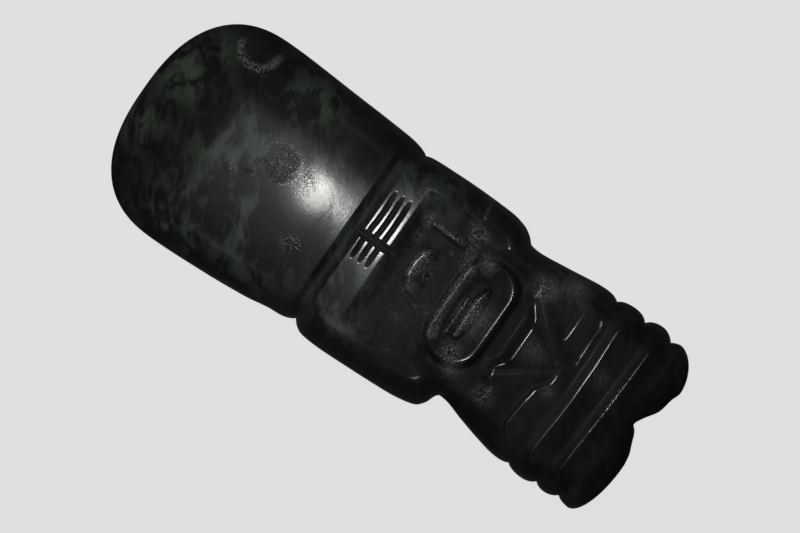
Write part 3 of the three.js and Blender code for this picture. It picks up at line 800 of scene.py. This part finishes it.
# %% A socket that can be reckoned with
class Value:
    """A number at a node's output. Arithmetic on it adds Math nodes to its tree."""

    def __init__(self, finish, socket):
        self.finish = finish
        self.socket = socket

    def math(self, operation, *others):
        inputs = {i: other for i, other in enumerate(others)}
        return self.finish.node("ShaderNodeMath", {"operation": operation}, inputs).value(0)

    def __add__(self, other):
        return self.math("ADD", self, other)

    __radd__ = __add__

    def __sub__(self, other):
        return self.math("SUBTRACT", self, other)

    def __rsub__(self, other):
        return self.math("SUBTRACT", other, self)

    def __mul__(self, other):
        return self.math("MULTIPLY", self, other)

    __rmul__ = __mul__

    def smoothly(self, start, end):
        """0 at start, 1 at end, and smooth between."""
        settings = {"interpolation_type": "SMOOTHSTEP"}
        inputs = {"Value": self, "From Min": start, "From Max": end}
        return self.finish.node("ShaderNodeMapRange", settings, inputs).value("Result")

    def clamped(self):
        return self.finish.node("ShaderNodeClamp", {}, {"Value": self}).value(0)


class Made:
    """A node that has been made, whose outputs are taken by name or number."""

    def __init__(self, finish, node):
        self.finish = finish
        self.node = node

    def value(self, output):
        return Value(self.finish, self.node.outputs[output])


class Finish:
    """A material and the nodes of its shader."""

    def __init__(self, name):
        self.material = bpy.data.materials.new(name)
        self.material.use_nodes = True
        self.tree = self.material.node_tree
        self.shader = self.tree.nodes["Principled BSDF"]

    def node(self, kind, settings, inputs):
        made = self.tree.nodes.new(kind)
        for name, setting in settings.items():
            setattr(made, name, setting)
        for name, given in inputs.items():
            self.give(made.inputs[name], given)
        return Made(self, made)

    def give(self, socket, given):
        if isinstance(given, Value):
            self.tree.links.new(given.socket, socket)
        else:
            socket.default_value = given

    def mix(self, share, a, b):
        """A colour between two others."""
        inputs = {0: share, 6: colour(a), 7: colour(b)}
        return self.node("ShaderNodeMix", {"data_type": "RGBA"}, inputs).value(2)


def colour(given):
    return given if isinstance(given, Value) else (*given, 1)


# %% [markdown]
# ## Jadeite
# The stone is a very dark green that is almost black, with cloudy grey-green patches where the grain
# is paler, drawn out into streaks. A picture could be wrapped round it, but clouds made from noise run
# through the stone as real ones do, and have no seam at the flanks. The polish is a second shader over
# the worn one, mixed by the mask, so that worn hollows stay dull without a milky edge to the polish.

# %% Read the stone's place and masks
finish = Finish("jadeite")
place = finish.node("ShaderNodeTexCoord", {}, {}).value("Object")
in_mm = finish.node("ShaderNodeVectorMath", {"operation": "SCALE"}, {0: place, "Scale": 1 / MM}).value(0)


def mask(name):
    return finish.node("ShaderNodeAttribute", {"attribute_name": name}, {}).value("Fac")


def noise(vector, size, detail=3.0, roughness=0.5, distortion=0.0):
    inputs = {
        "Vector": vector,
        "Scale": 1 / size,
        "Detail": detail,
        "Roughness": roughness,
        "Distortion": distortion,
    }
    return finish.node("ShaderNodeTexNoise", {}, inputs).value(0)


# %% Mix the clouds
STREAK_TURN, STREAK_SCALE = math.radians(-35), (0.55, 1, 1)
turned = finish.node(
    "ShaderNodeVectorRotate", {"rotation_type": "Z_AXIS"}, {"Vector": in_mm, "Angle": STREAK_TURN}
).value(0)
drawn_out = finish.node(
    "ShaderNodeVectorMath", {"operation": "MULTIPLY"}, {0: turned, 1: STREAK_SCALE}
).value(0)
DARK_STONE = (0.0125, 0.0132, 0.0108)
CLOUD_STONE = (0.115, 0.146, 0.115)
PALE_WEAR_AND_HIGHLIGHT = (0.25, 0.275, 0.24)
BROAD_SIZE, FINE_SIZE, BROAD_SHARE = 15, 4.5, 0.55
CLOUD_FROM, CLOUD_TO, LEAST_CLOUD = 0.45, 0.58, 0.06
broad = noise(drawn_out, BROAD_SIZE, 3, 0.6, 0.6)
fine = noise(drawn_out, FINE_SIZE, 5, 0.62, 0.9)
thin = (broad * BROAD_SHARE + fine * (1 - BROAD_SHARE)).smoothly(CLOUD_FROM, CLOUD_TO)
cloudiness = mask("cloudy") * (LEAST_CLOUD + (1 - LEAST_CLOUD) * thin)
base = finish.mix(cloudiness, DARK_STONE, CLOUD_STONE)

# %% Dust the pale patches and the painted highlights
GRAIN_SIZE, GRAIN_FROM, GRAIN_TO, LEAST_GRAIN = 0.9, 0.38, 0.62, 0.3
SPECK_SIZE, SPECK_FROM, SPECK_TO, SPECK_CONTRAST = 0.75, 0.42, 0.6, 1.3
grain = noise(in_mm, GRAIN_SIZE, 3, 0.6).smoothly(GRAIN_FROM, GRAIN_TO)
specks = noise(in_mm, SPECK_SIZE, 2, 0.6).smoothly(SPECK_FROM, SPECK_TO)
grainy = LEAST_GRAIN + (1 - LEAST_GRAIN) * grain
speckled = 1 + mask("pitted") * (specks * (2 * SPECK_CONTRAST) - SPECK_CONTRAST)
base = finish.mix((mask("pale") * grainy * speckled).clamped(), base, PALE_WEAR_AND_HIGHLIGHT)

# %% Raise the pits and the fine grain
PIT_RISE, SKIN_SIZE, SKIN_RISE, DUST_SIZE, DUST_RISE = 0.10, 2.2, 0.012, 0.6, 0.005
skin = noise(in_mm, SKIN_SIZE, 3, 0.55)
dust = noise(in_mm, DUST_SIZE, 2, 0.5)
relief = mask("pitted") * specks * PIT_RISE + skin * SKIN_RISE + dust * DUST_RISE
pits = finish.node("ShaderNodeBump", {}, {"Strength": 1.0, "Distance": MM, "Height": relief}).value(0)

# %% Lay the polish over the worn stone
WORN_ROUGHNESS, WORN_SPECULAR, POLISHED_ROUGHNESS, POLISHED_IOR = 0.62, 0.2, 0.13, 1.6
CLEAR_SHINE, PIT_DULLING, LEAST_SHINE = 0.7, 0.2, 0.015
finish.give(finish.shader.inputs["Base Color"], base)
finish.give(finish.shader.inputs["Normal"], pits)
finish.shader.inputs["Roughness"].default_value = WORN_ROUGHNESS
finish.shader.inputs["Specular IOR Level"].default_value = WORN_SPECULAR
polished = finish.node(
    "ShaderNodeBsdfPrincipled",
    {},
    {"Base Color": base, "Normal": pits, "Roughness": POLISHED_ROUGHNESS, "IOR": POLISHED_IOR},
)
shine = mask("polish") * (CLEAR_SHINE + (1 - CLEAR_SHINE) * thin) * (1 - mask("pitted") * PIT_DULLING)
shine = (shine * (1 - LEAST_SHINE) + LEAST_SHINE).clamped()
both = finish.node(
    "ShaderNodeMixShader", {}, {0: shine, 1: Value(finish, finish.shader.outputs[0]), 2: polished.value(0)}
)
finish.give(finish.tree.nodes["Material Output"].inputs["Surface"], both.value(0))
mesh.materials.append(finish.material)

# %% [markdown]
# ## Table and light
# The stone lies on a plain pale table under one soft box with a hot middle, high up beside the camera.
# A dark polished stone shows mostly what it mirrors: the box draws a pale window on the blade, its
# middle a bright spot. Strips of less and less light fade the box out on its right. The table is kept
# out of the mirror image, and the room is dim.

# %% Lay the table
TABLE_SIZE, TABLE_GLOW, TABLE_GREY = 6.0, 0.735, 0.04
bpy.ops.mesh.primitive_plane_add(size=TABLE_SIZE)
table = bpy.context.object
table.name = "table"
table.visible_glossy = False
table.visible_diffuse = False
pale = Finish("pale_table")
pale.shader.inputs["Base Color"].default_value = colour((TABLE_GREY,) * 3)
pale.shader.inputs["Roughness"].default_value = 1
pale.shader.inputs["Specular IOR Level"].default_value = 0
pale.shader.inputs["Emission Color"].default_value = (1, 1, 1, 1)
pale.shader.inputs["Emission Strength"].default_value = TABLE_GLOW
table.data.materials.append(pale.material)


# %% Hang the lamps
def soft_lamp(name, place, size, radiance, tint):
    """A lamp that faces straight down. A single size makes it round."""
    lamp = bpy.data.lights.new(name, "AREA")
    area = math.pi * size[0] ** 2 / 4
    lamp.shape = "DISK"
    lamp.size = size[0]
    if len(size) == 2:
        lamp.shape = "RECTANGLE"
        lamp.size_y = size[1]
        area = size[0] * size[1]
    lamp.energy = radiance * math.pi * area
    lamp.color = tint
    made = bpy.data.objects.new(name, lamp)
    bpy.context.scene.collection.objects.link(made)
    made.location = place
    print(f"{name}: {lamp.energy:.2f} W")


BOX_LEFT, FADE_FROM, FADE_TO, FADE_STEPS = -0.223, 0.04, 0.40, 10
BOX_BOTTOM, BOX_TOP, BOX_HEIGHT = -0.585, -0.015, 0.965
BOX_GLOW, FADE_POWER, BOX_TINT = 0.85, 1.2, (0.96, 1, 0.99)
HOT_PLACE, HOT_SIZE, HOT_RADIANCE, HOT_TINT = (-0.058, -0.128, 0.960), 0.145, 28, (1, 0.99, 0.96)
GLOW_PLACE, GLOW_SIZE, GLOW_RADIANCE, GLOW_TINT = (-0.050, -0.135, 0.962), 0.28, 0.9, (0.90, 1, 1.03)
ROOM_GREY = 0.03
fade_edges = np.linspace(FADE_FROM, FADE_TO, FADE_STEPS + 1)
box_edges = [BOX_LEFT, *fade_edges.tolist()]
for left, right in zip(box_edges, box_edges[1:]):
    strip_centre = ((left + right) / 2, (BOX_BOTTOM + BOX_TOP) / 2, BOX_HEIGHT)
    faded = max(0, (strip_centre[0] - FADE_FROM) / (FADE_TO - FADE_FROM))
    strip_size = (right - left, BOX_TOP - BOX_BOTTOM)
    soft_lamp("soft_box", strip_centre, strip_size, BOX_GLOW * (1 - faded) ** FADE_POWER, BOX_TINT)
soft_lamp("hot_middle", HOT_PLACE, (HOT_SIZE,), HOT_RADIANCE, HOT_TINT)
soft_lamp("glow", GLOW_PLACE, (GLOW_SIZE,), GLOW_RADIANCE, GLOW_TINT)
world = bpy.data.worlds.new("room")
bpy.context.scene.world = world
world.use_nodes = True
world.node_tree.nodes["Background"].inputs["Color"].default_value = colour((ROOM_GREY,) * 3)
bpy.context.scene.view_settings.view_transform = "Standard"

# %% Join the frame
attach(stone, "root")
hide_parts("axe_head")
